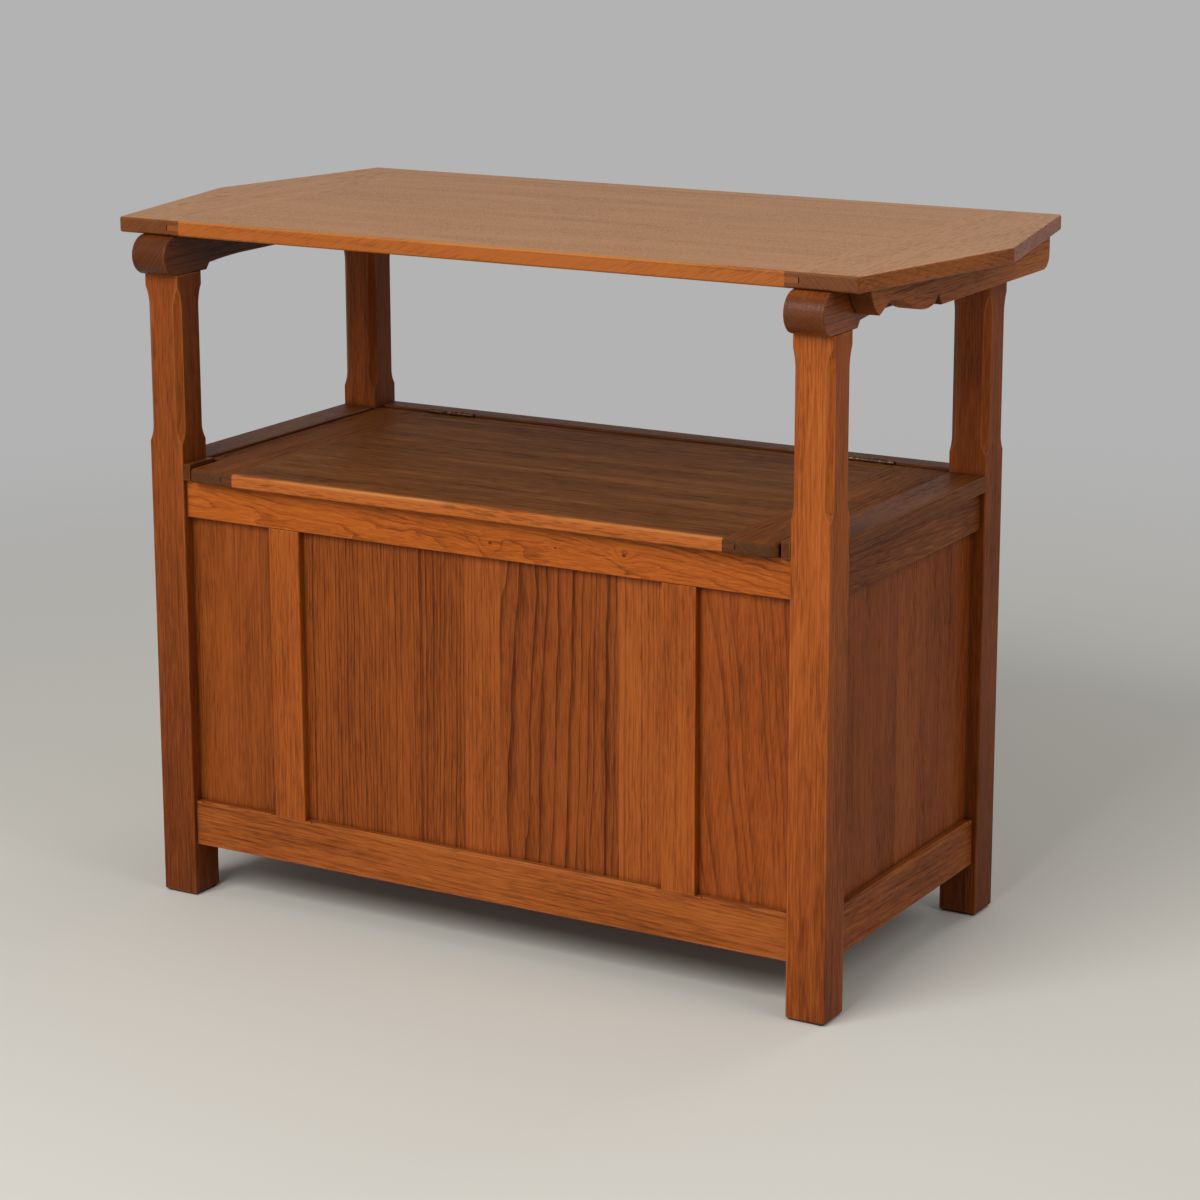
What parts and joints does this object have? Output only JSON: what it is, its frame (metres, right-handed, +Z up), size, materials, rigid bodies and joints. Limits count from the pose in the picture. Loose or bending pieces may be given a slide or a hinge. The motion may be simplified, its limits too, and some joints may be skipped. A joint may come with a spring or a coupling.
{
  "type": "monks bench",
  "caption": "Oak chest bench with a hinged seat lid and a table top on scrolled arms that tips up on pivot pegs to form the back.",
  "frame": {"origin": "on the floor, under the middle of the whole bench", "axes": "+X along the seat to the sitter's left, -Y out of the front, +Z up"},
  "size_m": [0.9288, 0.4854, 0.718],
  "materials": {
    "oak_frame": "stained and waxed oak, satin",
    "oak_panel": "stained and waxed oak, satin",
    "oak_top": "stained and polished oak, satin",
    "oak_seat": "stained and polished oak, satin",
    "plain_oak": "unfinished oak",
    "brass": "dull brass",
    "steel": "plain steel"
  },
  "bodies": {
    "frame": {"back_bottom_rail": "oak_frame", "back_floor_cleat": "plain_oak", "back_panel": "oak_panel", "back_top_rail": "oak_frame", "chest_floor": "plain_oak", "fixed_hinge_screws": "brass", "front_bottom_rail": "oak_frame", "front_floor_cleat": "plain_oak", "front_middle_panel": "oak_panel", "front_top_rail": "oak_frame", "left_arm": "oak_frame", "left_bottom_rail": "oak_frame", "left_end_panel": "oak_panel", "left_fixed_hinge_leaf": "brass", "left_front_muntin": "oak_frame", "left_front_panel": "oak_panel", "left_front_post": "oak_frame", "left_hinge_pin": "brass", "left_pivot_peg": "plain_oak", "left_rear_post": "oak_frame", "left_seat_fillet": "oak_seat", "left_seat_strip": "oak_seat", "left_top_rail": "oak_frame", "rear_seat_strip": "oak_seat", "right_arm": "oak_frame", "right_bottom_rail": "oak_frame", "right_end_panel": "oak_panel", "right_fixed_hinge_leaf": "brass", "right_front_muntin": "oak_frame", "right_front_panel": "oak_panel", "right_front_post": "oak_frame", "right_hinge_pin": "brass", "right_pivot_peg": "plain_oak", "right_rear_post": "oak_frame", "right_seat_fillet": "oak_seat", "right_seat_strip": "oak_seat", "right_top_rail": "oak_frame"},
    "table_top": {"top_board": "oak_top", "left_top_clamp": "oak_top", "right_top_clamp": "oak_top", "left_bearer": "oak_frame", "right_bearer": "oak_frame", "bearer_screws": "steel"},
    "seat_lid": {"lid_board": "oak_seat", "left_lid_clamp": "oak_seat", "right_lid_clamp": "oak_seat", "left_lid_hinge_leaf": "brass", "right_lid_hinge_leaf": "brass", "lid_hinge_screws": "brass"}
  },
  "joints": [
    {"name": "top_tip", "type": "hinge", "parent": "frame", "child": "table_top", "pos_m": [0, 0.15027, 0.68135], "axis": [-1, 0, 0], "range_deg": [0, 90]},
    {"name": "lid_open", "type": "hinge", "parent": "frame", "child": "seat_lid", "pos_m": [0, 0.14303, 0.466], "axis": [-1, 0, 0], "range_deg": [0, 38]}
  ]
}
